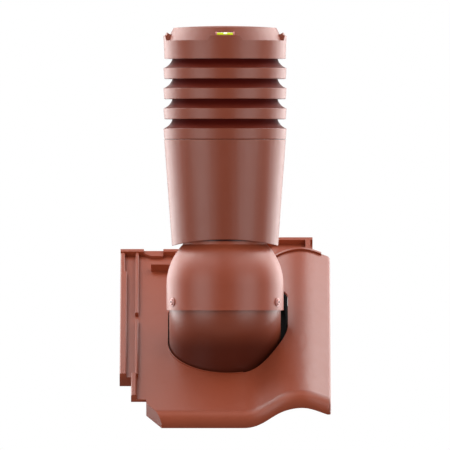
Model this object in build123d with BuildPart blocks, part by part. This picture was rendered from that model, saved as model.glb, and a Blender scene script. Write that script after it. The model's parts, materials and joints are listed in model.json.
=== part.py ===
from build123d import *
import os
from math import cos, radians, sin, sqrt, tan

os.makedirs("parts", exist_ok=True)

# Roof tile vent. The pipe stands plumb along +Z and the roof falls towards -Y.
# The origin is the centre of the duct spigot's mouth, under the roof.
# Heights of the stack are measured from the ball's centre, which is the pivot.
# Roof places are x across, s up the slope from the nose, and h square to the roof.
roof_pitch = 30
spigot_reach = 140
ball_height = 73.5
nose_reach = 196.6
fit = 0.3

# Tile plate
tile_length = 445
tile_left = -145.6
tile_right = 146
tile_wall = 4
trough_height = 20
skirt_depth = 20
nose_radius = 17
edge_radius = 7
roll_start = 25
roll_flank_low = (28.8, 9.1)
roll_flank_high = (30.3, 7.2)
roll_peak_x = 107.6
roll_peak_height = 52.2
roll_edge_height = 39.7
roll_edge_slope = -0.38
head_length = 43
roll_end = tile_length - head_length
flange_step = 16
flange_end = 104.6
flange_underside = 5.6
second_step = 37
second_end = 44
corner_s = 33.7
corner_x = 58.2
side_wall = 9.3
side_wall_narrow = 6.4
side_wall_narrow_length = 59
side_wall_change = tile_length - side_wall_narrow_length
rib_height = 6
rib_bevel = 1.4
water_rib_x = 21
water_rib_wall = 4.6
water_rib_gap_low = 254
water_rib_gap_high = 272
step_rib_wall = 7.5
step_rib_height = 7.5
head_wall = 7
head_wall_height = 7.5
head_pad_height = 4.4
head_pad_depth = 14
head_pad_left = -113
head_pad_right = -86
head_pad_slant = 10
head_floor_height = 39
head_floor_x = 80
head_right = 119
roll_rib_height = 3
roll_rib_depth = 4
roll_rib_left = 40
roll_rib_right = 134
stop_bar_left = -103
stop_bar_length = 63
stop_bar_back = 49
stop_bar_s = tile_length - stop_bar_back
stop_bar_depth = 7
stop_bar_height = 11
opening_x = 4
opening_shift = 1.4
opening_gap = 5.9
opening_straight = 77
opening_rear = 38
lip_wall = 1.8
lip_height = 1.2
lug_x = (-100, -30)
lug_width = 30
lug_back = 30
lug_s = tile_length - lug_back
lug_depth = 12
lug_drop = 30
fixing_x = -30
fixing_back = 18
fixing_s = tile_length - fixing_back
fixing_spacing = 80
fixing_hole = 6

# Ball neck, its seal, its flange screws and the duct adapter
ball_radius = 77.1
ball_wall = 3
ball_cut_front = 30
ball_cut_rear = 50
flange_wall = 4
flange_margin = 12
neck_tail = 6
seal_sheet = 4
seal_wall = 2.5
seal_drop = 3
flange_screw_margin = 6
flange_screw_angles = (197, 234, 271)
screw_shank = 2.2
screw_head = 4.6
screw_head_height = 2.6
screw_bite = 3
adapter_plug = 14
adapter_wall = 3
adapter_collar = 4
adapter_collar_width = 3.5
adapter_cone = 22
spigot_radius = 55
spigot_wall = 2.5
adapter_seat_step = 1
adapter_seat_length = 7
adapter_seal_width = 5
adapter_seal_height = 5

# Opening of the tile, which follows the neck
opening_s = nose_reach + opening_shift
opening_radius = ball_radius + opening_gap

# Hood, and its clamp screws
hood_clearance = 0.9
hood_wall = 3
hood_radius = ball_radius + hood_clearance + hood_wall
hood_straight = 35
hood_rear_cut = 28
pipe_radius = 55
pipe_wall = 2.5
pipe_ledge = 3.5
collar_wall = 3
collar_length = 21
clamp_forward = 27
clamp_height = 11.3
clamp_hole = 2.6
clamp_head = 4.1
clamp_head_height = 2.4
clamp_drive = 1.5
clamp_drive_depth = 1.8
washer_radius = 5.8
washer_height = 1.4
washer_dish = 1

# Pipe, sleeve and what keeps them in line
bore = pipe_radius + fit
ledge = bore - pipe_ledge
collar = bore + collar_wall
collar_base = hood_straight + sqrt(hood_radius ** 2 - ledge ** 2)
collar_top = collar_base + collar_length
sleeve_overlap = 8.3
sleeve_bottom = collar_base - sleeve_overlap
sleeve_length = 147
sleeve_top = sleeve_bottom + sleeve_length
sleeve_top_radius = 84.2
sleeve_taper = 10.7
sleeve_bottom_radius = sleeve_top_radius - sleeve_taper
sleeve_arch = 8.8
sleeve_wall = 2.5
pipe_rise = 10
pipe_top = sleeve_top + pipe_rise
pipe_seal_wall = 3.8
pipe_seal_height = 4
spider_height = 5
spider_hub = 3
spider_rim = 3
spider_arms = 6
spider_arm = 4
spider_gap = 1
lower_spider_z = collar_top + pipe_seal_height + spider_gap
upper_spider_drop = 22
upper_spider_z = sleeve_top - upper_spider_drop
insulation_gap = 2
insulation_wall = 12.7
insulation_bottom = lower_spider_z + spider_height + insulation_gap
insulation_top = upper_spider_z - insulation_gap

# Louvred head
louvre_count = 4
louvre_pitch = 27.85
louvre_seam = 0.4
louvre_bottom = sleeve_top + louvre_seam
louvre_foot_step = 0.2
louvre_bottom_radius = sleeve_top_radius - louvre_foot_step
louvre_draft = 1.2
louvre_top_radius = louvre_bottom_radius + louvre_draft
louvre_skirt = 14.9
louvre_wall = 2.4
louvre_bow_in = 7.9
louvre_bow_up = 5
louvre_bow_way = 31
louvre_flare_in = 13.2
louvre_flare_up = 18.1
cage_ring_height = 4
cage_ring_drop = 10
cage_ring_z = sleeve_top - cage_ring_drop
cage_spigot_wall = 2.2
cage_spigot_height = 9
cage_ring_gap = 5
cage_inner = pipe_radius + cage_ring_gap
fin_count = 8
fin_wall = 2.6

# Cap, and the bubble level in its front tab
cap_bottom = louvre_bottom + louvre_count * louvre_pitch
cap_foot_step = 0.1
cap_bottom_radius = louvre_bottom_radius - cap_foot_step
cap_skirt = 25.2
cap_shoulder = cap_bottom + cap_skirt
cap_draft = 1
cap_shoulder_radius = cap_bottom_radius + cap_draft
cap_ledge = 4.3
cap_foot_radius = cap_shoulder_radius - cap_ledge
cap_cone_rise = 17.8
cap_cone_run = 9.7
cap_crown = cap_shoulder + cap_cone_rise
cap_crown_radius = cap_foot_radius - cap_cone_run
cap_dome = 2.4
cap_wall = 2.6
cap_roof_wall = 3.1
cap_socket_wall = 2.2
cap_socket_drop = 11
cap_socket_bottom = cap_shoulder - cap_socket_drop
fin_bite = 3
fin_top = cap_shoulder + fin_bite
tab_base = 26.3
tab_top = 20
tab_count = 4
tab_outer_height = 6.6
tab_edge = (2, 0.8)
tab_ridge = (3.5, 11)
tab_valley = (6.5, 8.6)
tab_valley_fall = 0.2
vial_radius = 2.8
vial_bore = 2
vial_length = 22
vial_rise = 8.4
vial_z = cap_shoulder + vial_rise
vial_inset = 1
vial_y = cap_foot_radius - vial_inset
end_cap_length = 2.2
end_cap_radius = 3.1
bubble_length = 7.2
bubble_radius = 1.6

# The roof's directions, the pivot, and the planes that the pieces are drawn on
roof_normal = Vector(0, -sin(radians(roof_pitch)), cos(radians(roof_pitch)))
up_slope = Vector(0, cos(radians(roof_pitch)), sin(radians(roof_pitch)))
pivot = roof_normal * spigot_reach
nose = pivot - up_slope * nose_reach - roof_normal * ball_height
stack_axis = Axis(pivot, (0, 0, 1))
neck_axis = Axis(pivot, roof_normal)
stack_section = Plane(origin=pivot, x_dir=(1, 0, 0), z_dir=(0, -1, 0))
neck_section = Plane(origin=pivot, x_dir=(1, 0, 0), z_dir=up_slope * -1)
side_section = Plane(origin=pivot, x_dir=(0, 1, 0), z_dir=(1, 0, 0))
reach = 2 * tile_length


def roof_plane(height):
    """The plane at a height over the tile's base, with x across and y up the slope."""
    return Plane(origin=nose + roof_normal * height, x_dir=(1, 0, 0), z_dir=roof_normal)


def slope_section(s):
    """The plane square to the slope at s, with x across and y square to the roof."""
    return Plane(origin=nose + up_slope * s, x_dir=(1, 0, 0), z_dir=up_slope * -1)


def level(height):
    """The horizontal plane at a height over the pivot."""
    return Plane(origin=pivot + Vector(0, 0, height))


def body_profile(raised):
    """The tile's top line: a flat trough, then the roll, which ends at a lower outer edge."""
    start = (roll_start, trough_height + raised)
    peak = (roll_peak_x, roll_peak_height + raised)
    edge = (tile_right, roll_edge_height + raised)
    flank_low = (roll_start + roll_flank_low[0], trough_height + roll_flank_low[1] + raised)
    flank_high = (roll_peak_x - roll_flank_high[0], roll_peak_height - roll_flank_high[1] + raised)
    Line((tile_left, trough_height + raised), start)
    Spline([start, flank_low, flank_high, peak, edge], tangents=[(1, 0), (1, roll_edge_slope)])
    return edge


def head_profile(raised):
    """The lower line of the head, which the next tile up covers."""
    start = (roll_start, trough_height + raised)
    floor = (head_floor_x, head_floor_height + raised)
    edge = (tile_right, head_floor_height + raised)
    Line((tile_left, trough_height + raised), start)
    Spline([start, floor], tangents=[(1, 0), (1, 0)])
    Line(floor, edge)
    return edge


def below(profile, raised, low_s, high_s):
    """All that lies under a top line, from one place on the slope to another."""
    deep = -2 * skirt_depth - lug_drop
    with BuildPart() as region:
        with BuildSketch(slope_section(high_s)):
            with BuildLine():
                edge = profile(raised)
                Polyline(edge, (edge[0], deep), (tile_left, deep),
                         (tile_left, trough_height + raised))
            make_face()
        extrude(amount=high_s - low_s)
    return region.part


def outline_prism(inset):
    """The tile's outline in plan: stepped on the left, with a slanted corner at the nose."""
    left = tile_left + inset
    step_one = tile_left + flange_step + inset
    step_two = tile_left + second_step + inset
    nose_corner = tile_left + corner_x + inset / 2
    right = tile_right - inset
    head_edge = head_right + roll_rib_height - inset
    roll_top = roll_end - inset
    deep = 2 * skirt_depth + lug_drop
    with BuildPart() as prism:
        with BuildSketch(roof_plane(-deep)):
            with BuildLine():
                Polyline((left, tile_length - inset), (left, flange_end + inset),
                         (step_one, flange_end + inset), (step_one, second_end + inset),
                         (step_two, second_end + inset), (step_two, corner_s + inset / 2),
                         (nose_corner, inset), (right, inset), (right, roll_top),
                         (head_edge, roll_top), (head_edge, tile_length - inset),
                         (left, tile_length - inset))
            make_face()
        extrude(amount=2 * deep)
    return prism.part


def tile_form(inset, nose_round, side_round):
    """A tile-shaped block: the outline cut off by the top lines, with its nose rounded."""
    with BuildPart() as form:
        add(outline_prism(inset))
        add(below(body_profile, -inset, -reach, roll_end - inset)
            + below(head_profile, -inset, roll_end - inset, reach),
            mode=Mode.INTERSECT)
        tops = form.faces().filter_by(lambda face: face.normal_at().dot(roof_normal) > 0.3)
        nose_edges = [edge for face in tops for edge in face.edges()
                      if abs(roof_plane(0).to_local_coords(edge.center()).Y - inset) < fit]
        fillet(nose_edges, nose_round)
        right_face = form.faces().sort_by(Axis.X)[-1]
        side_edge = right_face.edges().sort_by(lambda e: e.center().dot(roof_normal))[-1]
        fillet(side_edge, side_round)
    return form.part


def opening_prism(margin, low, high):
    """The hole for the neck: round at the front, straight sides, and round rear corners."""
    half = opening_radius + margin
    with BuildPart() as prism:
        with BuildSketch(roof_plane(low)):
            with Locations((opening_x, opening_s)):
                Circle(half)
            with Locations((opening_x, opening_s + opening_straight / 2)):
                Rectangle(2 * half, opening_straight)
            with Locations((opening_x, opening_s + opening_straight)):
                RectangleRounded(2 * half, 2 * (opening_rear + margin),
                                 opening_rear + margin - 0.01)
        extrude(amount=high - low)
    return prism.part


def roof_block(low_x, high_x, low_s, high_s, low_h, high_h):
    """A block that lies square to the roof, between two x, two s and two h."""
    with BuildPart() as block:
        with BuildSketch(roof_plane(low_h)):
            with Locations(((low_x + high_x) / 2, (low_s + high_s) / 2)):
                Rectangle(high_x - low_x, high_s - low_s)
        extrude(amount=high_h - low_h)
    return block.part


# Tile plate: a moulded shell with side skirts, water ribs, a head wall and batten lugs
underside = trough_height - tile_wall
rib_root = trough_height - tile_wall / 2
step_x = tile_left + flange_step
rib_x = tile_left + water_rib_x
with BuildPart() as tile_plate:
    add(tile_form(0, nose_radius, edge_radius))
    add(below(body_profile, -skirt_depth, -reach, reach), mode=Mode.SUBTRACT)
    add(tile_form(tile_wall, nose_radius - tile_wall, edge_radius - tile_wall / 2),
        mode=Mode.SUBTRACT)
    # The flange ends higher than the nose, and the second step is a bare sheet.
    add(roof_block(tile_left - 1, tile_left + second_step, 0, tile_length, -skirt_depth,
                   flange_underside), mode=Mode.SUBTRACT)
    add(roof_block(tile_left - 1, tile_left + second_step, 0, flange_end - tile_wall,
                   -skirt_depth, underside), mode=Mode.SUBTRACT)
    # Water ribs, with bevelled tops
    top = trough_height + rib_height
    add(roof_block(tile_left, tile_left + side_wall, flange_end, side_wall_change,
                   rib_root, top))
    add(roof_block(tile_left, tile_left + side_wall_narrow, side_wall_change, tile_length,
                   rib_root, top))
    add(roof_block(rib_x, rib_x + water_rib_wall, flange_end, water_rib_gap_low, rib_root, top))
    add(roof_block(rib_x, rib_x + water_rib_wall, water_rib_gap_high, tile_length,
                   rib_root, top))
    add(roof_block(step_x, step_x + step_rib_wall, second_end, flange_end,
                   rib_root, trough_height + step_rib_height))
    rib_tops = [face for face in tile_plate.faces()
                if face.normal_at().dot(roof_normal) > 0.99
                and roof_plane(trough_height).to_local_coords(face.center()).Z > 1
                and face.center().X < tile_left + second_step]
    chamfer([edge for face in rib_tops for edge in face.edges()
             if abs((edge @ 1 - edge @ 0).normalized().dot(up_slope)) > 0.9], rib_bevel)
    # Head wall on the head's own line, with a low slanted pad in it
    add(below(head_profile, head_wall_height, tile_length - head_wall, tile_length)
        & outline_prism(0) - below(head_profile, -tile_wall / 2, -reach, reach))
    add(below(head_profile, head_wall_height, roll_end, tile_length)
        & roof_block(head_right - head_wall, head_right, roll_end - 1, tile_length,
                     trough_height, reach / 4))
    add(roof_block(head_pad_left, head_pad_right, tile_length - head_wall, tile_length,
                   trough_height, trough_height + 2 * head_wall_height), mode=Mode.SUBTRACT)
    with BuildSketch(roof_plane(rib_root)):
        pad_low = tile_length - head_pad_depth
        with BuildLine():
            Polyline((head_pad_left, tile_length), (head_pad_left, tile_length - head_wall),
                     (head_pad_left + head_pad_slant, pad_low), (head_pad_right, pad_low),
                     (head_pad_right, tile_length), close=True)
        make_face()
    extrude(amount=trough_height - rib_root + head_pad_height)
    # Rib across the roll's head, and the stop bar in the trough
    add(below(body_profile, roll_rib_height, roll_end - roll_rib_depth, roll_end)
        & roof_block(roll_rib_left, roll_rib_right, 0, tile_length, trough_height, reach / 4)
        - below(body_profile, -tile_wall / 2, -reach, reach))
    add(roof_block(stop_bar_left, stop_bar_left + stop_bar_length, stop_bar_s,
                   stop_bar_s + stop_bar_depth, rib_root, trough_height + stop_bar_height))
    # Opening for the neck, with a raised lip round its front and left
    add(opening_prism(0, -reach / 4, reach / 4), mode=Mode.SUBTRACT)
    add((opening_prism(lip_wall, -reach / 4, reach / 4) - opening_prism(0, -reach / 4, reach / 4))
        & roof_block(tile_left, roll_start, 0, tile_length, rib_root, trough_height + lip_height))
    # Batten lugs under the head, and the fixing holes
    for x in lug_x:
        add(roof_block(x - lug_width / 2, x + lug_width / 2, lug_s, lug_s + lug_depth,
                       underside - lug_drop, rib_root))
    with BuildSketch(roof_plane(0)):
        with Locations((fixing_x, fixing_s)):
            with GridLocations(fixing_spacing, 0, 2, 1):
                Circle(fixing_hole / 2)
    extrude(amount=reach / 4, mode=Mode.SUBTRACT)

# Screws from below hold the neck's flange and its seal to the tile's underside.
screw_line = opening_radius + flange_screw_margin
rear_line = opening_s + opening_straight + opening_rear + flange_screw_margin
screw_places = [(opening_x + screw_line * cos(radians(angle)),
                 opening_s + screw_line * sin(radians(angle))) for angle in flange_screw_angles]
screw_places += [(opening_x - screw_line, opening_s + opening_straight / 3),
                 (opening_x - screw_line, opening_s + opening_straight)]
screw_places += [(opening_x - screw_line / 2, rear_line), (opening_x, rear_line)]
seal_low = underside - seal_sheet
flange_low = seal_low - flange_wall


def screw_bodies(radius, low, high):
    """A round bar at each flange screw, from one height over the tile's base to another."""
    with BuildPart() as bars:
        with BuildSketch(roof_plane(low)):
            with Locations(*screw_places):
                Circle(radius)
        extrude(amount=high - low)
    return bars.part


with BuildPart() as tile_bores:
    add(tile_plate.part)
    add(screw_bodies(screw_shank + fit / 3, flange_low, underside + screw_bite + fit),
        mode=Mode.SUBTRACT)
tile_bores.part.label = "tile_plate"
export_step(tile_bores.part, "parts/tile_plate.step")

with BuildPart() as neck_flange_screws:
    add(screw_bodies(screw_shank, flange_low, underside + screw_bite))
    add(screw_bodies(screw_head, flange_low - screw_head_height, flange_low))
    add(screw_bodies(screw_shank / 2, flange_low - screw_head_height,
                     flange_low - screw_head_height / 2), mode=Mode.SUBTRACT)
neck_flange_screws.part.label = "neck_flange_screws"
export_step(neck_flange_screws.part, "parts/neck_flange_screws.step")

# Ball neck: a sphere over the roof that runs into a tube square to it, with a flange below
neck_low = flange_low - neck_tail - ball_height
ball_inner = ball_radius - ball_wall
with BuildPart() as ball_neck:
    with BuildSketch(neck_section):
        with BuildLine():
            Line((ball_inner, neck_low), (ball_radius, neck_low))
            Line((ball_radius, neck_low), (ball_radius, 0))
            CenterArc((0, 0), ball_radius, 0, 90)
            Line((0, ball_radius), (0, ball_inner))
            CenterArc((0, 0), ball_inner, 0, 90)
            Line((ball_inner, 0), (ball_inner, neck_low))
        make_face()
    revolve(axis=neck_axis)
    add(opening_prism(flange_margin, flange_low, seal_low))
    with BuildSketch(roof_plane(flange_low - flange_wall)):
        with Locations((0, nose_reach)):
            Circle(ball_inner)
    extrude(amount=2 * flange_wall + seal_sheet, mode=Mode.SUBTRACT)
    with BuildSketch(side_section):
        front = radians(ball_cut_front)
        rear = radians(ball_cut_rear)
        front_rim = (-ball_radius * cos(front), ball_radius * sin(front))
        rear_rim = (ball_radius * cos(rear), ball_radius * sin(rear))
        slope = (rear_rim[1] - front_rim[1]) / (rear_rim[0] - front_rim[0])
        with BuildLine():
            Polyline((-reach / 4, front_rim[1] + slope * (-reach / 4 - front_rim[0])),
                     (reach / 4, front_rim[1] + slope * (reach / 4 - front_rim[0])),
                     (reach / 4, reach / 4), (-reach / 4, reach / 4), close=True)
        make_face()
    extrude(amount=reach / 4, both=True, mode=Mode.SUBTRACT)
    add(screw_bodies(screw_shank + fit, flange_low - 1, seal_low + 1), mode=Mode.SUBTRACT)
ball_neck.part.label = "ball_neck"
export_step(ball_neck.part, "parts/ball_neck.step")

# Neck seal: a soft sheet under the tile, with a wall that closes the opening up to the roll
with BuildPart() as neck_seal:
    add(opening_prism(flange_margin, seal_low, underside))
    add((opening_prism(-fit, seal_low, reach / 4)
         - opening_prism(-fit - seal_wall, underside, reach / 4))
        & below(body_profile, -seal_drop, -reach, reach))
    with BuildSketch(roof_plane(seal_low - 1)):
        with Locations((0, nose_reach)):
            Circle(ball_radius + fit)
    extrude(amount=reach / 4, mode=Mode.SUBTRACT)
    add(screw_bodies(screw_shank + fit, seal_low - 1, underside + 1), mode=Mode.SUBTRACT)
neck_seal.part.label = "neck_seal"
export_step(neck_seal.part, "parts/neck_seal.step")

# Duct adapter: a plug in the neck's tail, a collar, a cone and the duct spigot. A wider seat
# at the spigot's root takes the seal.
plug_radius = ball_inner - fit
collar_low = neck_low - adapter_collar
cone_low = collar_low - adapter_cone
seat_radius = spigot_radius + adapter_seat_step
seat_low = cone_low - adapter_seat_length
with BuildPart() as duct_adapter:
    with BuildSketch(neck_section):
        with BuildLine():
            Polyline((plug_radius - adapter_wall, neck_low + adapter_plug),
                     (plug_radius, neck_low + adapter_plug), (plug_radius, neck_low),
                     (ball_radius + adapter_collar_width, neck_low),
                     (ball_radius + adapter_collar_width, collar_low),
                     (ball_radius, collar_low), (seat_radius, cone_low),
                     (seat_radius, seat_low + adapter_seat_step), (spigot_radius, seat_low),
                     (spigot_radius, -spigot_reach),
                     (spigot_radius - spigot_wall, -spigot_reach),
                     (spigot_radius - spigot_wall, cone_low - spigot_wall / 2),
                     (plug_radius - adapter_wall, collar_low), close=True)
        make_face()
    revolve(axis=neck_axis)
duct_adapter.part.label = "duct_adapter"
export_step(duct_adapter.part, "parts/duct_adapter.step")

with BuildPart() as adapter_seal:
    with BuildSketch(neck_section):
        with BuildLine():
            seal_foot = seat_low + adapter_seat_step
            seal_inner = seat_radius + fit / 3
            Polyline((seal_inner, seal_foot), (seal_inner + adapter_seal_width / 3, seal_foot),
                     (seal_inner + adapter_seal_width, seal_foot + adapter_seal_height),
                     (seal_inner, seal_foot + adapter_seal_height), close=True)
        make_face()
    revolve(axis=neck_axis)
adapter_seal.part.label = "adapter_seal"
export_step(adapter_seal.part, "parts/adapter_seal.step")

# Hood: a skirt and a dome over the ball, cut away behind, with a collar for the pipe
hood_inner = hood_radius - hood_wall
clamp_way = Vector(cos(radians(clamp_forward)), -sin(radians(clamp_forward)), 0)
clamp_planes = []
for side in (-1, 1):
    way = Vector(side * clamp_way.X, clamp_way.Y, 0)
    clamp_planes.append(Plane(origin=pivot + way * hood_radius + Vector(0, 0, clamp_height),
                              x_dir=(0, 0, 1), z_dir=way))


def on_sphere(radius, distance):
    """The point of the dome's section at a distance from the stack's axis."""
    return (distance, hood_straight + sqrt(radius ** 2 - distance ** 2))


with BuildPart() as hood:
    with BuildSketch(stack_section):
        with BuildLine():
            Line((hood_inner, 0), (hood_radius, 0))
            Line((hood_radius, 0), (hood_radius, hood_straight))
            RadiusArc((hood_radius, hood_straight), on_sphere(hood_radius, collar),
                      -hood_radius)
            Polyline(on_sphere(hood_radius, collar), (collar, collar_top), (bore, collar_top),
                     (bore, collar_base), (ledge, collar_base), on_sphere(hood_inner, ledge))
            RadiusArc(on_sphere(hood_inner, ledge), (hood_inner, hood_straight), hood_inner)
            Line((hood_inner, hood_straight), (hood_inner, 0))
        make_face()
    revolve(axis=stack_axis)
    with BuildSketch(side_section):
        with BuildLine():
            Polyline((0, 0), (2 * hood_radius, 2 * hood_radius * tan(radians(hood_rear_cut))),
                     (2 * hood_radius, -1), (0, -1), close=True)
        make_face()
    extrude(amount=2 * hood_radius, both=True, mode=Mode.SUBTRACT)
    with BuildSketch(*clamp_planes):
        Circle(clamp_hole + fit)
    extrude(amount=hood_wall + 1, both=True, mode=Mode.SUBTRACT)
hood.part.label = "hood"
export_step(hood.part, "parts/hood.step")

with BuildPart() as hood_screw_washers:
    with BuildSketch(*clamp_planes):
        Circle(washer_radius)
        Circle(clamp_hole + fit, mode=Mode.SUBTRACT)
    extrude(amount=washer_height)
    with BuildSketch(*[plane.offset(washer_height) for plane in clamp_planes]):
        Circle(clamp_head + fit)
    extrude(amount=-washer_dish, mode=Mode.SUBTRACT)
hood_screw_washers.part.label = "hood_screw_washers"
export_step(hood_screw_washers.part, "parts/hood_screw_washers.step")

head_planes = [plane.offset(washer_height - washer_dish) for plane in clamp_planes]
with BuildPart() as hood_screws:
    with BuildSketch(*head_planes):
        Circle(clamp_hole)
    extrude(amount=-(washer_height - washer_dish + hood_radius - ball_radius - fit))
    with BuildSketch(*head_planes):
        Circle(clamp_head)
    extrude(amount=clamp_head_height, taper=12)
    with BuildSketch(*[plane.offset(clamp_head_height) for plane in head_planes]):
        RegularPolygon(clamp_drive, 6)
    extrude(amount=-clamp_drive_depth, mode=Mode.SUBTRACT)
hood_screws.part.label = "hood_screws"
export_step(hood_screws.part, "parts/hood_screws.step")

# Inner pipe, its seal on the collar, and the insulation round it
with BuildPart() as inner_pipe:
    with BuildSketch(level(collar_base)):
        Circle(pipe_radius)
        Circle(pipe_radius - pipe_wall, mode=Mode.SUBTRACT)
    extrude(amount=pipe_top - collar_base)
inner_pipe.part.label = "inner_pipe"
export_step(inner_pipe.part, "parts/inner_pipe.step")

with BuildPart() as pipe_seal:
    with BuildSketch(level(collar_top)):
        Circle(bore + pipe_seal_wall)
        Circle(bore, mode=Mode.SUBTRACT)
    extrude(amount=pipe_seal_height)
pipe_seal.part.label = "pipe_seal"
export_step(pipe_seal.part, "parts/pipe_seal.step")

with BuildPart() as insulation:
    with BuildSketch(level(insulation_bottom)):
        Circle(bore + insulation_wall)
        Circle(bore, mode=Mode.SUBTRACT)
    extrude(amount=insulation_top - insulation_bottom)
insulation.part.label = "insulation"
export_step(insulation.part, "parts/insulation.step")


def sleeve_inside(height):
    """The sleeve's inner radius at a height over the pivot."""
    grow = (sleeve_top_radius - sleeve_bottom_radius) / (sleeve_top - sleeve_bottom)
    return sleeve_bottom_radius - sleeve_wall + grow * (height - sleeve_bottom)


# Outer sleeve: a tapered tube whose lower rim is arched at the front and the back
with BuildPart() as outer_sleeve:
    with BuildSketch(stack_section):
        with BuildLine():
            Polyline((sleeve_bottom_radius, sleeve_bottom), (sleeve_top_radius, sleeve_top),
                     (sleeve_top_radius - sleeve_wall, sleeve_top),
                     (sleeve_bottom_radius - sleeve_wall, sleeve_bottom), close=True)
        make_face()
    revolve(axis=stack_axis)
    arch_radius = (sleeve_bottom_radius ** 2 + sleeve_arch ** 2) / (2 * sleeve_arch)
    with BuildSketch(stack_section):
        with Locations((0, sleeve_bottom + sleeve_arch - arch_radius)):
            Circle(arch_radius)
    extrude(amount=2 * sleeve_top_radius, both=True, mode=Mode.SUBTRACT)
outer_sleeve.part.label = "outer_sleeve"
export_step(outer_sleeve.part, "parts/outer_sleeve.step")


def spider(low):
    """A centring ring: a hub on the pipe, a rim in the sleeve and arms between them."""
    rim = sleeve_inside(low) - fit
    hub = bore + spider_hub
    with BuildPart() as ring:
        with BuildSketch(level(low)):
            Circle(rim)
            Circle(rim - spider_rim, mode=Mode.SUBTRACT)
            with PolarLocations((hub + rim - spider_rim) / 2, spider_arms):
                Rectangle(rim - spider_rim - hub + 2, spider_arm)
            Circle(hub)
            Circle(bore, mode=Mode.SUBTRACT)
        extrude(amount=spider_height)
    return ring.part


for name, low in (("lower_centring_ring", lower_spider_z), ("upper_centring_ring", upper_spider_z)):
    centring_ring = spider(low)
    centring_ring.label = name
    export_step(centring_ring, "parts/" + name + ".step")

# Louvre cage: a ring with a spigot in the sleeve's top, and upright fins up to the cap
fin_outer = louvre_top_radius - louvre_flare_in - louvre_wall - fit
cage_outer = sleeve_inside(cage_ring_z) - fit
with BuildPart() as louvre_cage:
    with BuildSketch(level(cage_ring_z)):
        Circle(cage_outer)
        Circle(cage_inner, mode=Mode.SUBTRACT)
    extrude(amount=cage_ring_height)
    with BuildSketch(level(cage_ring_z)):
        Circle(cage_outer)
        Circle(cage_outer - cage_spigot_wall, mode=Mode.SUBTRACT)
    extrude(amount=cage_spigot_height)
    with BuildSketch(level(cage_ring_z)):
        with PolarLocations((cage_inner + fin_outer) / 2, fin_count, 180 / fin_count):
            Rectangle(fin_outer - cage_inner, fin_wall)
    extrude(amount=fin_top - cage_ring_z)
louvre_cage.part.label = "louvre_cage"
export_step(louvre_cage.part, "parts/louvre_cage.step")


def louvre_ring(low):
    """One louvre: an upright skirt, and a hollow flare that climbs inwards from its rim."""
    rim = (louvre_top_radius, low + louvre_skirt)
    bow = (louvre_top_radius - louvre_bow_in, low + louvre_skirt + louvre_bow_up)
    neck = (louvre_top_radius - louvre_flare_in, low + louvre_skirt + louvre_flare_up)
    inner_rim = (rim[0] - louvre_wall, rim[1] - louvre_wall)
    inner_bow = (bow[0] - louvre_wall * sin(radians(louvre_bow_way)),
                 bow[1] - louvre_wall * cos(radians(louvre_bow_way)))
    inner_neck = (neck[0] - louvre_wall, neck[1])
    with BuildPart() as ring:
        with BuildSketch(stack_section) as section:
            with BuildLine():
                Line((louvre_bottom_radius, low), rim)
                ThreePointArc(rim, bow, neck)
                Line(neck, inner_neck)
                ThreePointArc(inner_neck, inner_bow, inner_rim)
                Polyline(inner_rim, (louvre_bottom_radius - louvre_wall, low),
                         (louvre_bottom_radius, low))
            make_face()
            fillet(section.vertices().sort_by(Axis.X)[-1], louvre_wall / 4)
        revolve(axis=stack_axis)
    return ring.part


for number in range(1, louvre_count + 1):
    louvre = louvre_ring(louvre_bottom + (number - 1) * louvre_pitch)
    louvre.label = "louvre_ring_" + str(number)
    export_step(louvre, "parts/" + louvre.label + ".step")

# Cap: a skirted lid with a coned shoulder, a low dome, four tabs and a socket for the fins
cone_slope = cap_cone_run / cap_cone_rise


def cone_radius(height):
    """The cone's outer radius at a height over the pivot."""
    return cap_foot_radius - cone_slope * (height - cap_shoulder)


with BuildPart() as cap:
    with BuildSketch(stack_section) as cap_section:
        inner_roof = cap_crown - cap_wall
        inner_foot = cap_shoulder - cap_wall
        with BuildLine():
            RadiusArc((0, cap_crown + cap_dome), (cap_crown_radius, cap_crown),
                      (cap_crown_radius ** 2 + cap_dome ** 2) / (2 * cap_dome))
            Polyline((cap_crown_radius, cap_crown), (cap_foot_radius, cap_shoulder),
                     (cap_shoulder_radius, cap_shoulder), (cap_bottom_radius, cap_bottom),
                     (cap_bottom_radius - cap_wall, cap_bottom),
                     (cap_shoulder_radius - cap_wall, inner_foot),
                     (cone_radius(inner_foot) - cap_roof_wall, inner_foot),
                     (cone_radius(inner_roof) - cap_roof_wall, inner_roof),
                     (0, inner_roof + cap_dome / 2), (0, cap_crown + cap_dome))
        make_face()
    revolve(axis=stack_axis)
    with BuildSketch(level(cap_socket_bottom)):
        Circle(fin_outer + fit + cap_socket_wall)
        Circle(fin_outer + fit, mode=Mode.SUBTRACT)
    extrude(amount=inner_roof - cap_socket_bottom - cap_wall)

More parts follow.
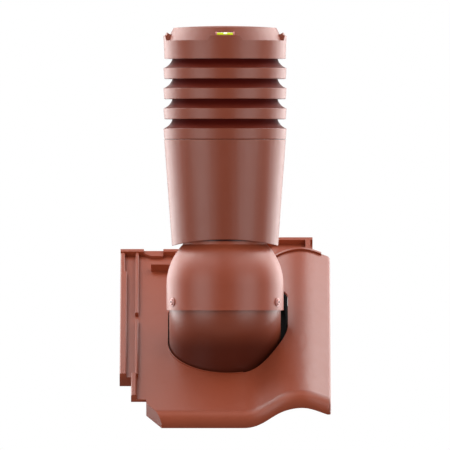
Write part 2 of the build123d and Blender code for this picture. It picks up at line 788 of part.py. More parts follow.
# The tabs stand on the shoulder, flush with the skirt, and their ends slant inwards.
sector_low = cap_shoulder - cap_wall
sector_high = cap_shoulder + tab_ridge[1] + cap_wall
end_slant = (tab_base - tab_top) / (tab_outer_height + cap_wall) * (sector_high - sector_low)
with BuildPart() as tab_sector:
    with BuildSketch(stack_section):
        with BuildLine():
            Polyline((-tab_base, sector_low), (tab_base, sector_low),
                     (tab_base - end_slant, sector_high), (-tab_base + end_slant, sector_high),
                     close=True)
        make_face()
    extrude(amount=2 * cap_foot_radius)
with BuildPart() as tabs:
    with BuildSketch(stack_section):
        root = cap_shoulder - cap_wall / 3
        valley = cap_shoulder + tab_valley[1]
        with BuildLine():
            Polyline((cap_foot_radius - cap_wall / 2, root), (cap_shoulder_radius, root),
                     (cap_shoulder_radius + fit, cap_shoulder + tab_outer_height),
                     (cap_shoulder_radius - tab_edge[0],
                      cap_shoulder + tab_outer_height + tab_edge[1]),
                     (cap_shoulder_radius - tab_ridge[0], cap_shoulder + tab_ridge[1]),
                     (cap_shoulder_radius - tab_valley[0], valley),
                     (cone_radius(valley), valley - tab_valley_fall),
                     (cone_radius(valley) - cap_wall / 2, valley - 2 * tab_valley_fall),
                     close=True)
        make_face()
    revolve(axis=stack_axis)
    quarter = 360 / tab_count
    add([tab_sector.part.rotate(stack_axis, quarter * turn) for turn in range(tab_count)],
        mode=Mode.INTERSECT)

# The front tab has a pocket that the bubble level lies in.
vial_centre = pivot + Vector(0, -vial_y, vial_z)
vial_plane = Plane(origin=vial_centre, x_dir=(0, 1, 0), z_dir=(1, 0, 0))
pocket_half = vial_length / 2 + end_cap_length + fit
with BuildPart() as finished_cap:
    add(cap.part)
    add(tabs.part)
    with BuildSketch(level(vial_z - end_cap_radius - fit)):
        with Locations((0, -vial_y)):
            Rectangle(2 * pocket_half, 2 * (end_cap_radius + fit))
    extrude(amount=2 * end_cap_radius + tab_ridge[1], mode=Mode.SUBTRACT)
finished_cap.part.label = "cap"
export_step(finished_cap.part, "parts/cap.step")

with BuildPart() as level_vial:
    with BuildSketch(vial_plane):
        Circle(vial_radius)
        Circle(vial_bore, mode=Mode.SUBTRACT)
    extrude(amount=vial_length / 2, both=True)
level_vial.part.label = "level_vial"
export_step(level_vial.part, "parts/level_vial.step")

with BuildPart() as level_liquid:
    with BuildSketch(vial_plane):
        Circle(vial_bore - fit / 6)
    extrude(amount=vial_length / 2 - fit / 6, both=True)
    with BuildSketch(vial_plane):
        with Locations((0, vial_bore)):
            Circle(bubble_radius)
    extrude(amount=bubble_length / 2, both=True, mode=Mode.SUBTRACT)
level_liquid.part.label = "level_liquid"
export_step(level_liquid.part, "parts/level_liquid.step")

with BuildPart() as level_end_caps:
    with BuildSketch(vial_plane.offset(vial_length / 2),
                     vial_plane.offset(-vial_length / 2 - end_cap_length)):
        Circle(end_cap_radius)
    extrude(amount=end_cap_length)
level_end_caps.part.label = "level_end_caps"
export_step(level_end_caps.part, "parts/level_end_caps.step")
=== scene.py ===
import json
from math import cos, pi, radians, sin

import bmesh
import bpy
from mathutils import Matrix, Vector


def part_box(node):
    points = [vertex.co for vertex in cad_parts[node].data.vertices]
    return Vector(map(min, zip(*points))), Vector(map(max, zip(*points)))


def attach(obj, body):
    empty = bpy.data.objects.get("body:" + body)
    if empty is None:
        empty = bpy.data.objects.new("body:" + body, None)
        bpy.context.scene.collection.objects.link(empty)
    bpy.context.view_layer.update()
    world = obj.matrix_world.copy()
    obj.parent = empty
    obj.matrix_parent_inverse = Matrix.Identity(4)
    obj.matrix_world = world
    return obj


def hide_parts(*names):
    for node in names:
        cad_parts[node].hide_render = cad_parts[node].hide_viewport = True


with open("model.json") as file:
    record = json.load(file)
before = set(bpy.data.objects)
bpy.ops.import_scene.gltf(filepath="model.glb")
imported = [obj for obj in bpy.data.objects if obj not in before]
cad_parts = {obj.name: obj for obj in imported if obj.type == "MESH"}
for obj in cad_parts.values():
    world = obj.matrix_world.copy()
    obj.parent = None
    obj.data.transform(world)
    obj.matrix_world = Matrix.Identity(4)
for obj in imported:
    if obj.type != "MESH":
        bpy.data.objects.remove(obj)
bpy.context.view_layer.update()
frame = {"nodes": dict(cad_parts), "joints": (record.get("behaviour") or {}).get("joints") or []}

# Tile plate: one injection moulding in terracotta plastic, with a shell's even wall and small
# radii on every edge. Its ribs, roll and head lock into the tiles round it. It is a shade
# lighter and rougher than the stack.


class Tap:
    """A socket of a material's tree, on which sums can be written as sums."""

    def __init__(self, shader, socket):
        self.shader = shader
        self.socket = socket

    def maths(self, operation, *others):
        settings = {"operation": operation}
        return self.shader.node("ShaderNodeMath", settings, {0: self, **dict(enumerate(others, 1))})

    def __add__(self, other):
        return self.maths("ADD", other)

    def __sub__(self, other):
        return self.maths("SUBTRACT", other)

    def __mul__(self, other):
        return self.maths("MULTIPLY", other)

    def __rsub__(self, other):
        return (self - other) * -1

    __rmul__ = __mul__


class Shader:
    """A material of one Principled BSDF, with a short way to add nodes and to feed it."""

    def __init__(self, name, **values):
        self.material = bpy.data.materials.new(name)
        self.material.use_nodes = True
        self.tree = self.material.node_tree
        self.surface = self.tree.nodes["Principled BSDF"]
        for socket, value in values.items():
            self.feed(socket.replace("_", " "), value)
        self.place = self.node("ShaderNodeTexCoord", output="Object")

    def link(self, socket, value):
        if isinstance(value, Tap):
            self.tree.links.new(value.socket, socket)
        else:
            socket.default_value = value

    def node(self, kind, settings=None, sockets=None, output=0):
        made = self.tree.nodes.new(kind)
        for name, value in (settings or {}).items():
            setattr(made, name, value)
        for key, value in (sockets or {}).items():
            self.link(made.inputs[key], value)
        return Tap(self, made.outputs[output])

    def feed(self, name, value):
        self.link(self.surface.inputs[name], value)

    def noise(self, scale, detail=2.0, rough=0.5, place=None):
        sockets = {"Vector": place or self.place, "Scale": scale, "Detail": detail,
                   "Roughness": rough}
        return self.node("ShaderNodeTexNoise", None, sockets)

    def stretched(self, x, y, z):
        """The place with each axis scaled, so that a noise on it runs in streaks."""
        return self.vector("MULTIPLY", self.place, (x, y, z))

    def mix(self, factor, first, second):
        settings = {"data_type": "RGBA"}
        return self.node("ShaderNodeMix", settings, {"Factor": factor, 6: first, 7: second},
                         output=2)

    def ramp(self, value, low, high, least=0.0):
        """Eased from the least where a value is low to 1 where it is high."""
        settings = {"interpolation_type": "SMOOTHSTEP"}
        sockets = {"Value": value, "From Min": low, "From Max": high, "To Min": least}
        return self.node("ShaderNodeMapRange", settings, sockets)

    def vector(self, operation, *values, output=0):
        return self.node("ShaderNodeVectorMath", {"operation": operation},
                         dict(enumerate(values)), output)

    def bump(self, height, distance, strength=1.0):
        sockets = {"Height": height, "Distance": distance, "Strength": strength}
        self.feed("Normal", self.node("ShaderNodeBump", None, sockets))


def colour(text):
    """A screen colour such as 9b6555 as the linear colour that a shader takes."""
    parts = [int(text[i:i + 2], 16) / 255 for i in (0, 2, 4)]
    return [p / 12.92 if p <= 0.04045 else ((p + 0.055) / 1.055) ** 2.4 for p in parts] + [1.0]


def moulded_plastic(name, dark, light, rough, grain=0.00006, unshaded=None, shade_tone="300503"):
    """Satin moulded plastic: a cloudy tone, a fine pebble grain and faint flow waves. A mask may
    give how much painted shade a place gets, as 0 for full shade to 1 for none, where that differs
    over the piece. The painted shade has a dark tone of its own and makes the plastic a little
    glossier."""
    gloss_spread = 0.08
    shade_gloss = 0.08
    shader = Shader(name, IOR=1.5)
    cloud = shader.noise(14.0, 3.0, 0.6)
    speck = shader.noise(900.0, 1.0)
    streak = shader.noise(30.0, 2.0, 0.5, shader.stretched(1.0, 1.0, 0.12))
    tone = cloud * 0.5 + speck * 0.25 + streak * 0.25
    tone = shader.mix(tone, colour(dark), colour(light))
    gloss = shader.noise(60.0, 2.0) * gloss_spread + (rough - gloss_spread / 2)
    if unshaded:
        unshaded_share = unshaded(shader)
        tone = shader.mix(unshaded_share, colour(shade_tone), tone)
        gloss = gloss - shade_gloss * (1 - unshaded_share)
    shader.feed("Base Color", tone)
    shader.feed("Roughness", gloss)
    pebble = shader.noise(1500.0, 2.0, 0.7)
    shader.bump(pebble * 0.4 + cloud * 0.6, grain)
    return shader.material


def dress(piece, material, slot, body, *nodes):
    """Gives a finished mesh its material and its body, and hides what it stands for. Its slot is
    not used.
    """
    piece.data.materials.clear()
    piece.data.materials.append(material)
    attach(piece, body)
    if nodes:
        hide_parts(*nodes)


def finish_edges(piece, edge=0.0, segments=2):
    """Rounds a piece's sharp edges and shades it smooth, led by its largest faces."""
    rounded_from = radians(38)
    sharp_from = radians(35)
    if edge:
        rounding = piece.modifiers.new("rounding", "BEVEL")
        rounding.width = edge
        rounding.segments = segments
        rounding.limit_method = "ANGLE"
        rounding.angle_limit = rounded_from
    for face in piece.data.polygons:
        face.use_smooth = True
    piece.data.set_sharp_from_angle(angle=sharp_from)
    weights = piece.modifiers.new("weights", "WEIGHTED_NORMAL")
    weights.keep_sharp = True
    weights.weight = 80
    return piece


def moulded(node, name, edge, segments=2):
    """A node's own shape as clean faces, with its sharp edges rounded as a mould rounds them."""
    merge_within = 1e-5
    flat_within = radians(0.6)
    piece = bpy.data.objects.new(name, frame["nodes"][node].data.copy())
    bpy.context.scene.collection.objects.link(piece)
    shape = bmesh.new()
    shape.from_mesh(piece.data)
    bmesh.ops.remove_doubles(shape, verts=shape.verts, dist=merge_within)
    bmesh.ops.dissolve_limit(shape, angle_limit=flat_within, verts=shape.verts,
                             edges=shape.edges)
    shape.to_mesh(piece.data)
    shape.free()
    return finish_edges(piece, edge, segments)


def facing(shader, axis):
    """How far a face looks along an axis, from -1 to 1."""
    way = shader.node("ShaderNodeTexCoord", output="Normal")
    return shader.node("ShaderNodeSeparateXYZ", None, {0: way}, axis)


def shaded_but_the_nose(shader):
    """Painted shade on the tile's face, and none on the nose's front, which looks most to the
    front.
    """
    face_unshaded = 0.7
    faces_partly = -0.6
    faces_the_front = -0.9
    return shader.ramp(facing(shader, 1), faces_partly, faces_the_front, face_unshaded)


# The tile's face is darkened by painted shade; the nose's front is left without it.
tile_finish = moulded_plastic("tile_terracotta", "873a20", "914125", 0.46, unshaded=shaded_but_the_nose)
dress(moulded("tile_plate", "tile_shell", 0.0011, 3), tile_finish, "tile_plastic", "roof_base",
      "tile_plate")

# Ball neck: the fixed half of the ball joint, a hollow ball that runs into a tube through the
# tile, with a flange below. It is moulded in the stack's plastic, which is smoother and darker
# than the tile's, and its foot, down in the opening, is darkened by painted shade.
pivot = Vector(frame["joints"][0]["pos_m"])
stack_tones = ("72321f", "7a3822")
fine_grain = 0.00004
stack_finish = moulded_plastic("stack_terracotta", *stack_tones, 0.42, fine_grain)


def over_pivot(shader):
    """The height over the pivot."""
    return shader.node("ShaderNodeSeparateXYZ", None, {0: shader.place}, 2) - pivot.z


def shaded_towards_the_foot(shader):
    """No painted shade from the shade's top up, and the most painted shade at the foot."""
    foot = -0.056
    shade_top = -0.022
    foot_unshaded = 0.3
    return shader.ramp(over_pivot(shader), foot, shade_top, foot_unshaded)


neck_finish = moulded_plastic("neck_terracotta", *stack_tones, 0.4, fine_grain, shaded_towards_the_foot)
dress(moulded("ball_neck", "neck_shell", 0.0004), neck_finish, "stack_plastic", "roof_base",
      "ball_neck")

# Neck seal: a black rubber sheet under the tile, whose wall rises in the opening round the neck.
# It shows as the dark gap on the neck's right and as a thin dark line on its left.


def rubber(name, tone, rough):
    """Moulded rubber: near black, a little dusty, with a fine matt skin that hardly shines."""
    shader = Shader(name, IOR=1.12)
    dust = shader.noise(90.0, 4.0, 0.6)
    shader.feed("Base Color", shader.mix(dust * 0.7, colour(tone), colour("0e0d0c")))
    shader.feed("Roughness", dust * 0.15 + rough)
    shader.bump(shader.noise(1200.0, 2.0), 0.00005)
    return shader.material


seal_finish = rubber("seal_black", "040404", 0.6)
dress(moulded("neck_seal", "neck_gasket", 0.0004), seal_finish, "seal_rubber", "roof_base",
      "neck_seal")

# Flange screws: seven zinc-plated pan heads, driven up from below through the neck's flange and
# the seal into the tile. A round recess stands for the drive, and each screw is turned by chance.


def turned(profile, steps=40):
    """A closed shape turned round the Z axis from a profile of radii and heights."""
    merge_within = 1e-7
    shape = bmesh.new()
    line = [shape.verts.new((radius, 0, height)) for radius, height in profile]
    for first, second in zip(line, line[1:]):
        shape.edges.new((first, second))
    bmesh.ops.spin(shape, geom=shape.verts[:] + shape.edges[:], cent=(0, 0, 0), axis=(0, 0, 1),
                   angle=2 * pi, steps=steps, use_merge=True)
    bmesh.ops.remove_doubles(shape, verts=shape.verts, dist=merge_within)
    bmesh.ops.recalc_face_normals(shape, faces=shape.faces)
    return shape


def mesh_object(name, shape):
    """A new object from a finished bmesh."""
    data = bpy.data.meshes.new(name)
    shape.to_mesh(data)
    shape.free()
    made = bpy.data.objects.new(name, data)
    bpy.context.scene.collection.objects.link(made)
    return made


def repeat(name, part, places, material, axis="Z", about="AUTO", spin=0.0, seed=5):
    """One mesh of a part at each place, made by Geometry Nodes. A place is a point and the way
    that the part's axis faces there. Spin is the most that a copy is turned round that axis."""
    tree = bpy.data.node_groups.new(name, "GeometryNodeTree")
    for title, kind in (("Geometry", "Geometry"), ("Part", "Object"), ("Material", "Material"),
                        ("Spin", "Float"), ("Seed", "Int")):
        tree.interface.new_socket(title, in_out="INPUT", socket_type="NodeSocket" + kind)
    tree.interface.new_socket("Geometry", in_out="OUTPUT", socket_type="NodeSocketGeometry")

    def add(kind, **settings):
        made = tree.nodes.new(kind)
        for setting, value in settings.items():
            setattr(made, setting, value)
        return made

    def join(source, output, target, socket):
        tree.links.new(source.outputs[output], target.inputs[socket])

    given = add("NodeGroupInput")
    out = add("NodeGroupOutput")
    info = add("GeometryNodeObjectInfo")
    towards = add("GeometryNodeInputNamedAttribute", data_type="FLOAT_VECTOR")
    towards.inputs["Name"].default_value = "towards"
    align = add("FunctionNodeAlignRotationToVector", axis=axis, pivot_axis=about)
    copies = add("GeometryNodeInstanceOnPoints")
    chance = add("FunctionNodeRandomValue", data_type="FLOAT")
    turn = add("ShaderNodeCombineXYZ")
    spun = add("GeometryNodeRotateInstances")
    real = add("GeometryNodeRealizeInstances")
    paint = add("GeometryNodeSetMaterial")
    join(given, "Geometry", copies, "Points")
    join(given, "Part", info, "Object")
    join(info, "Geometry", copies, "Instance")
    join(towards, "Attribute", align, "Vector")
    join(align, "Rotation", copies, "Rotation")
    join(given, "Spin", chance, 3)
    join(given, "Seed", chance, "Seed")
    join(chance, 1, turn, "Z")
    join(copies, "Instances", spun, "Instances")
    join(turn, "Vector", spun, "Rotation")
    join(spun, "Instances", real, "Geometry")
    join(real, "Geometry", paint, "Geometry")
    join(given, "Material", paint, "Material")
    join(paint, "Geometry", out, "Geometry")

    points = bpy.data.meshes.new(name + "_places")
    points.from_pydata([place for place, way in places], [], [])
    ways = points.attributes.new("towards", "FLOAT_VECTOR", "POINT")
    ways.data.foreach_set("vector", [value for place, way in places for value in way])
    base = bpy.data.objects.new(name + "_places", points)
    bpy.context.scene.collection.objects.link(base)
    repeater = base.modifiers.new("repeat", "NODES")
    repeater.node_group = tree
    values = {"Part": part, "Material": material, "Spin": spin, "Seed": seed}
    for item in tree.interface.items_tree:
        if item.in_out == "INPUT" and item.name in values:
            repeater[item.identifier] = values[item.name]
    ready = base.evaluated_get(bpy.context.evaluated_depsgraph_get())
    made = bpy.data.objects.new(name, bpy.data.meshes.new_from_object(ready))
    bpy.context.scene.collection.objects.link(made)
    bpy.data.objects.remove(base)
    bpy.data.objects.remove(part)
    return made


def islands(node):
    """The vertices of each separate solid in a node, in the order of the node's mesh."""
    merge_within = 1e-6
    shape = bmesh.new()
    shape.from_mesh(frame["nodes"][node].data)
    bmesh.ops.remove_doubles(shape, verts=shape.verts, dist=merge_within)
    left = set(shape.verts)
    found = []
    for start in shape.verts:
        if start not in left:
            continue
        left.remove(start)
        queue = [start]
        solid = []
        while queue:
            vert = queue.pop()
            solid.append(vert.co.copy())
            for edge in vert.link_edges:
                other = edge.other_vert(vert)
                if other in left:
                    left.remove(other)
                    queue.append(other)
        found.append(solid)
    shape.free()
    return found


slope = pivot.normalized()
across = Vector((1, 0, 0))
uphill = slope.cross(across)
screw_places = []
for solid in islands("neck_flange_screws"):
    spans = [[vert.dot(way) for vert in solid] for way in (across, uphill, slope)]
    x, up = ((min(span) + max(span)) / 2 for span in spans[:2])
    screw_places.append((across * x + uphill * up + slope * min(spans[2]), slope))
shank_end = max(spans[2]) - min(spans[2])
drive = [(0, 0.0013), (0.0006, 0.0013), (0.0012, 0)]
head = [(0.0024, 0), (0.0038, 0.0005), (0.0045, 0.0014), (0.0046, 0.0023), (0.0043, 0.0026)]
shank = [(0.0022, 0.0026), (0.0022, shank_end - 0.0008), (0.0014, shank_end), (0, shank_end)]
screw = turned(drive + head + shank)
zinc = Shader("zinc_plate", Metallic=1.0)
stain = zinc.noise(400.0, 3.0)
zinc.feed("Base Color", zinc.mix(stain, colour("a9a79f"), colour("c9c8c2")))
zinc.feed("Roughness", stain * 0.2 + 0.22)
flange_screws = repeat("flange_screws", mesh_object("pan_head", screw), screw_places,
                       zinc.material, spin=pi / 2)
dress(finish_edges(flange_screws), zinc.material, "screw_steel", "roof_base",
      "neck_flange_screws")

# Duct adapter: a dark grey cone under the neck that ends in a 110 mm spigot for the room's duct,
# and the rubber ring at the spigot's root that seals against the duct's end.


def pipe_plastic(name, dark, light, rough):
    """Extruded or moulded pipe plastic, with fine draw lines that run along it."""
    shader = Shader(name, IOR=1.5)
    lines = shader.noise(700.0, 2.0, 0.6, shader.stretched(1.0, 1.0, 0.04))
    cloud = shader.noise(25.0, 3.0)
    shader.feed("Base Color", shader.mix(lines * 0.4 + cloud * 0.6, colour(dark), colour(light)))
    shader.feed("Roughness", cloud * 0.12 + rough)
    shader.bump(lines, 0.00004)
    return shader.material


pipe_finish = pipe_plastic("pipe_grey", "313236", "3d3e43", 0.34)
dress(moulded("duct_adapter", "adapter_cone", 0.0005), pipe_finish, "pipe_plastic", "roof_base",
      "duct_adapter")
dress(moulded("adapter_seal", "adapter_ring", 0.0003), seal_finish, "seal_rubber", "roof_base",
      "adapter_seal")

# Hood: the moving half of the ball joint. Its skirt ends level with the ball's centre, and the
# thin dark line there is the gap between the two. Its tones are lighter than the stack's as
# painted light, and painted shade darkens its skirt, so that its shoulder is brightest just below
# the sleeve's rim; above that, inside the sleeve, painted shade darkens it.


def painted_shoulder_light(shader):
    """Painted light on the shoulder, painted shade down the skirt, and dark painted shade inside
    the sleeve.
    """
    skirt_unshaded = 0.62
    skirt_to = 0.077
    shoulder_from = 0.091
    unshaded_to = 0.0945
    shaded_from = 0.0965
    up = over_pivot(shader)
    shoulder = shader.ramp(up, skirt_to, shoulder_from, skirt_unshaded)
    return shader.ramp(up, shaded_from, unshaded_to) * shoulder


hood_finish = moulded_plastic("hood_terracotta", "a0492f", "aa5236", 0.45, fine_grain,
                              painted_shoulder_light)
dress(moulded("hood", "hood_shell", 0.0007, 3), hood_finish, "stack_plastic", "vent_stack",
      "hood")

# Clamp screws: two dished washers and two socket screws in a lighter plastic, whose tones are
# raised further as painted light on their faces. They press on the ball and hold the stack at the
# roof's pitch. Each lies on a line through the pivot, one to a side, and painted shade darkens its
# drive.
clamp = islands("hood_screws")[0]
clamp_middle = sum(clamp, Vector()) / len(clamp) - pivot
clamp_line = Vector([abs(part) for part in clamp_middle]).normalized()


def unshaded_but_the_drives(shader):
    """Without painted shade but for a round spot of it about each screw's line, in its drive."""
    spot_radius = 0.0016
    soft_edge = 0.0006
    mirrored = shader.vector("ABSOLUTE", shader.vector("SUBTRACT", shader.place, pivot))
    off_line = shader.vector("LENGTH", shader.vector("CROSS_PRODUCT", mirrored, clamp_line),
                             output=1)
    return shader.ramp(off_line, spot_radius, spot_radius + soft_edge)


clamp_finish = moulded_plastic("clamp_terracotta", "bb827b", "c68f87", 0.38, fine_grain / 2,
                               unshaded_but_the_drives)
dress(moulded("hood_screw_washers", "clamp_washers", 0.0002), clamp_finish, "screw_cap_plastic",
      "vent_stack", "hood_screw_washers")
dress(moulded("hood_screws", "clamp_screws", 0.0002), clamp_finish, "screw_cap_plastic",
      "vent_stack", "hood_screws")

# Inner pipe: the dark grey pipe that carries the air up through the insulated sleeve, with a
# rubber ring between it and the hood's collar.
dress(moulded("inner_pipe", "vent_pipe", 0.0004), pipe_finish, "pipe_plastic", "vent_stack",
      "inner_pipe")
dress(moulded("pipe_seal", "collar_ring", 0.0004), seal_finish, "seal_rubber", "vent_stack",
      "pipe_seal")

# Insulation: a closed-cell foam shell round the pipe, between it and the sleeve. It keeps the
# air in the pipe from cooling, so that less water condenses there.
foam = Shader("foam_grey", IOR=1.4)
cells = foam.node("ShaderNodeTexVoronoi", None, {"Vector": foam.place, "Scale": 700.0})
foam.feed("Base Color", foam.mix(cells * 0.8, colour("55575a"), colour("3c3d40")))
foam.feed("Roughness", cells * 0.1 + 0.82)
foam.bump(cells, 0.0004)
dress(moulded("insulation", "foam_shell", 0.0006), foam.material, "insulation_foam",
      "vent_stack", "insulation")

# Centring rings: a hub on the pipe, a rim in the sleeve and six arms between them, moulded in the
# pipe's plastic. One sits below the foam and one above it.
for level in ("lower", "upper"):
    node = level + "_centring_ring"
    dress(moulded(node, level + "_spider", 0.0004), pipe_finish, "pipe_plastic", "vent_stack",
          node)

# Outer sleeve: the tapered tube that shows, with an arched lower rim that clears the hood as the
# stack tilts. The photograph's raised lettering on its sides is left off.
dress(moulded("outer_sleeve", "sleeve_tube", 0.0008, 3), stack_finish, "stack_plastic",
      "vent_stack", "outer_sleeve")

# Louvre cage: a ring in the sleeve's top that carries eight upright fins, on which the louvres
# are stacked. Only slivers of it show between them.
cage_low, cage_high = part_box("louvre_cage")
ring_outer = (cage_high.x - cage_low.x) / 2
pipe_low, pipe_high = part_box("inner_pipe")
ring_play = 0.005
ring_inner = (pipe_high.x - pipe_low.x) / 2 + ring_play
ring_tall = 0.009
ring_floor = 0.004
ring_wall = 0.0022
cage_edge = 0.0004
rim_edge = 0.0002
cage_ring = turned([(ring_inner, cage_edge), (ring_inner + cage_edge, 0),
                    (ring_outer - cage_edge, 0), (ring_outer, cage_edge),
                    (ring_outer, ring_tall - rim_edge), (ring_outer - cage_edge, ring_tall),
                    (ring_outer - ring_wall, ring_tall), (ring_outer - ring_wall, ring_floor),
                    (ring_inner + cage_edge, ring_floor), (ring_inner, ring_floor - cage_edge),
                    (ring_inner, cage_edge)], steps=96)
cage_tall = cage_high.z - cage_low.z
fin_outer = 0.0693
fin_thick = 0.0026
fin_count = 8
fin_shape = bmesh.new()
bmesh.ops.create_cube(fin_shape, size=1)
for vert in fin_shape.verts:
    vert.co = Vector((vert.co.x * (fin_outer - ring_inner), vert.co.y * fin_thick,
                      (vert.co.z + 0.5) * cage_tall))
bmesh.ops.bevel(fin_shape, geom=fin_shape.edges, offset=cage_edge, segments=2, affect="EDGES",
                profile=0.5)
fin_places = []
for number in range(fin_count):
    turn = 2 * pi * (number + 0.5) / fin_count
    way = Vector((cos(turn), sin(turn), 0))
    fin_places.append((way * (fin_outer + ring_inner) / 2, way))
fins = repeat("cage_fins", mesh_object("fin", fin_shape), fin_places, stack_finish, "X", "Z")
cage_ring.from_mesh(fins.data)
bmesh.ops.translate(cage_ring, verts=cage_ring.verts, vec=(0, pivot.y, cage_low.z))
bpy.data.objects.remove(fins)
dress(finish_edges(mesh_object("cage", cage_ring)), stack_finish, "stack_plastic", "vent_stack",
      "louvre_cage")

# Louvres: four rings, each an upright skirt whose hollow flare climbs inwards behind the skirt
# above. Rain runs off them and air leaves between them, and painted shade darkens the flares
# inwards, under the skirt above.


def off_axis(shader):
    """The distance from the pipe's axis."""
    spoke = shader.vector("SUBTRACT", shader.place, (0, pivot.y, 0))
    return shader.vector("LENGTH", shader.vector("MULTIPLY", spoke, (1, 1, 0)), output=1)


def unshaded_but_the_flares(shader):
    """No painted shade on the upright skirts, and ever more painted shade inwards on the flares."""
    flare_unshaded = 0.36
    flare_inner = 0.072
    flare_outer = 0.0845
    skirt_from = 0.081
    skirt_to = 0.083
    radius = off_axis(shader)
    upright = shader.ramp(facing(shader, 2), 0.6, 0.3)
    skirt = upright * shader.ramp(radius, skirt_from, skirt_to)
    flare = shader.ramp(radius, flare_inner, flare_outer) * flare_unshaded
    return skirt + (1 - skirt) * flare


louvre_finish = moulded_plastic("louvre_terracotta", *stack_tones, 0.42, fine_grain,
                                unshaded_but_the_flares, shade_tone="4c0a05")
for number in range(1, 5):
    node = "louvre_ring_%d" % number
    dress(moulded(node, "louvre_%d" % number, 0.0009, 3), louvre_finish, "stack_plastic",
          "vent_stack", node)

# Cap: a lid with a coned shoulder and a low dome. Four tabs stand on its shoulder, and the front
# one holds the level.
dress(moulded("cap", "cap_shell", 0.001, 3), stack_finish, "stack_plastic", "vent_stack", "cap")

# Level: a clear vial of yellow-green liquid with a white bubble, and a pale red ring at each
# end. It shows when the stack is plumb.
vial_low, vial_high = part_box("level_vial")
vial_middle = (vial_low + vial_high) / 2
clear = Shader("vial_clear", Base_Color=colour("f4f8e8"), Roughness=0.06, IOR=1.3,
               Transmission_Weight=1.0)
dress(moulded("level_vial", "vial_tube", 0.0), clear.material, "vial_clear", "vent_stack",
      "level_vial")
# The liquid is given a faint painted glow, though it is no lamp.
liquid = Shader("level_liquid", Roughness=0.2, IOR=1.33, Emission_Strength=0.35)
depth = liquid.noise(120.0, 1.0)
liquid.feed("Base Color", liquid.mix(depth, colour("d3dc1c"), colour("e9ef4a")))
liquid.feed("Emission Color", liquid.mix(depth, colour("c9d412"), colour("e6ee40")))
dress(moulded("level_liquid", "level_fluid", 0.0), liquid.material, "level_fluid", "vent_stack",
      "level_liquid")

# The bubble is a ball drawn out along the vial, a little off its middle.
bubble_radius = 0.0017
bubble_stretch = 0.0019
bubble_drift = Vector((0.0003, -0.0003, 0.0002))
bubble_shape = bmesh.new()
bmesh.ops.create_uvsphere(bubble_shape, u_segments=24, v_segments=16, radius=bubble_radius)
on_middle = 1e-6
for vert in bubble_shape.verts:
    if abs(vert.co.x) > on_middle:
        vert.co.x += bubble_stretch * (1 if vert.co.x > 0 else -1)
    vert.co += vial_middle + bubble_drift
# The bubble is given a faint painted glow as well.
air = Shader("bubble_glowing_air", Roughness=0.15, Emission_Strength=0.5)
haze = air.noise(200.0, 1.0)
air.feed("Base Color", air.mix(haze, colour("f4f2e6"), colour("fdfdf6")))
air.feed("Emission Color", air.mix(haze, colour("f1efe2"), colour("fbfbf2")))
dress(finish_edges(mesh_object("level_bubble", bubble_shape)), air.material, "level_fluid",
      "vent_stack", "level_liquid")
ring_finish = moulded_plastic("level_ring_red", "b4706c", "c07f78", 0.3, fine_grain / 4)
dress(moulded("level_end_caps", "level_rings", 0.0002), ring_finish, "level_end", "vent_stack",
      "level_end_caps")

# The camera stands far off at the photograph's level, a little above the hood's collar, so that
# it sees the vent almost square.
view_width = 0.624
view_over_pivot = 0.1179
view_height = pivot.z + view_over_pivot
camera_distance = 30.0
camera_data = bpy.data.cameras.new("camera")
camera_data.lens = camera_data.sensor_width * camera_distance / view_width
camera_data.clip_end = 100
camera = bpy.data.objects.new("camera", camera_data)
camera.location = (0, -camera_distance, view_height)
camera.rotation_euler = (pi / 2, 0, 0)
bpy.context.scene.collection.objects.link(camera)
bpy.context.scene.camera = camera

# The studio: soft boxes in mirrored pairs and a grey floor well below the vent. The front pairs
# draw the broad bands of light on the stack, the rear pairs draw its bright edges, and a small
# pair by the head lights the cap. The camera sees plain white behind the vent.


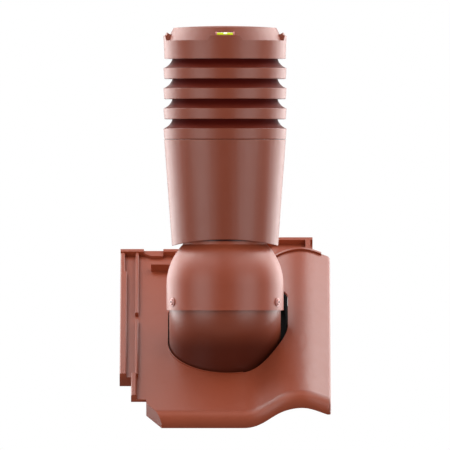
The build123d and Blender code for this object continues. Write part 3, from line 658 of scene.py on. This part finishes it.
def soft_box(name, azimuth, elevation, distance, width, height, power):
    """An area lamp that faces the vent's middle, given by its degrees off the front and up, its
    distance, its width and height, and its watts."""
    lamp = bpy.data.lights.new(name, "AREA")
    lamp.shape = "RECTANGLE"
    lamp.size = width
    lamp.size_y = height
    lamp.energy = power
    stand = bpy.data.objects.new(name, lamp)
    turn = radians(azimuth)
    lift = radians(elevation)
    back = Vector((sin(turn) * cos(lift), -cos(turn) * cos(lift), sin(lift)))
    stand.location = Vector((0, 0, view_height)) + back * distance
    stand.rotation_mode = "QUATERNION"
    stand.rotation_quaternion = (-back).to_track_quat("-Z", "Y")
    bpy.context.scene.collection.objects.link(stand)


boxes = (
    ("front", 44, 0, 1.8, 1.2, 1.3, 16),
    ("front_high", 45, 45, 1.4, 1.2, 0.8, 7.5),
    ("side_high", 90, 45, 1.4, 0.7, 0.8, 5.3),
    ("side", 108, 8, 1.8, 0.6, 1.6, 10.3),
    ("rear_side", 126, 2, 1.8, 0.7, 1.3, 12.9),
    ("rear", 145, 2, 1.8, 0.8, 1.3, 13.2),
    ("rear_high", 125, 45, 1.3, 1.0, 0.8, 13.4),
    ("head", 140, 64, 0.6, 0.3, 0.3, 0.55),
)
for name, azimuth, *rest in boxes:
    for side in (-1, 1):
        soft_box(name, side * azimuth, *rest)

# Only the camera sees the white. The vent itself gets a faint fill from all round.
fill = 0.02
world = bpy.data.worlds.new("studio")
bpy.context.scene.world = world
world.use_nodes = True
sky = world.node_tree
sky.nodes.clear()
seen = sky.nodes.new("ShaderNodeLightPath")
white = sky.nodes.new("ShaderNodeBackground")
white.inputs["Color"].default_value = (1, 1, 1, 1)
dim = sky.nodes.new("ShaderNodeBackground")
dim.inputs["Color"].default_value = (1, 1, 1, 1)
dim.inputs["Strength"].default_value = fill
choice = sky.nodes.new("ShaderNodeMixShader")
output = sky.nodes.new("ShaderNodeOutputWorld")
sky.links.new(seen.outputs["Is Camera Ray"], choice.inputs[0])
sky.links.new(dim.outputs[0], choice.inputs[1])
sky.links.new(white.outputs[0], choice.inputs[2])
sky.links.new(choice.outputs[0], output.inputs["Surface"])

floor_drop = 0.35
floor_radius = 4
floor_grey = 0.12
bpy.ops.mesh.primitive_circle_add(vertices=96, radius=floor_radius, fill_type="NGON",
                                  location=(0, 0, -floor_drop))
floor = bpy.context.object
floor.name = "floor"
floor_paint = Shader("floor_paint", Base_Color=(floor_grey, floor_grey, floor_grey, 1),
                     Roughness=0.8)
floor.data.materials.append(floor_paint.material)

bpy.context.scene.view_settings.view_transform = "Standard"
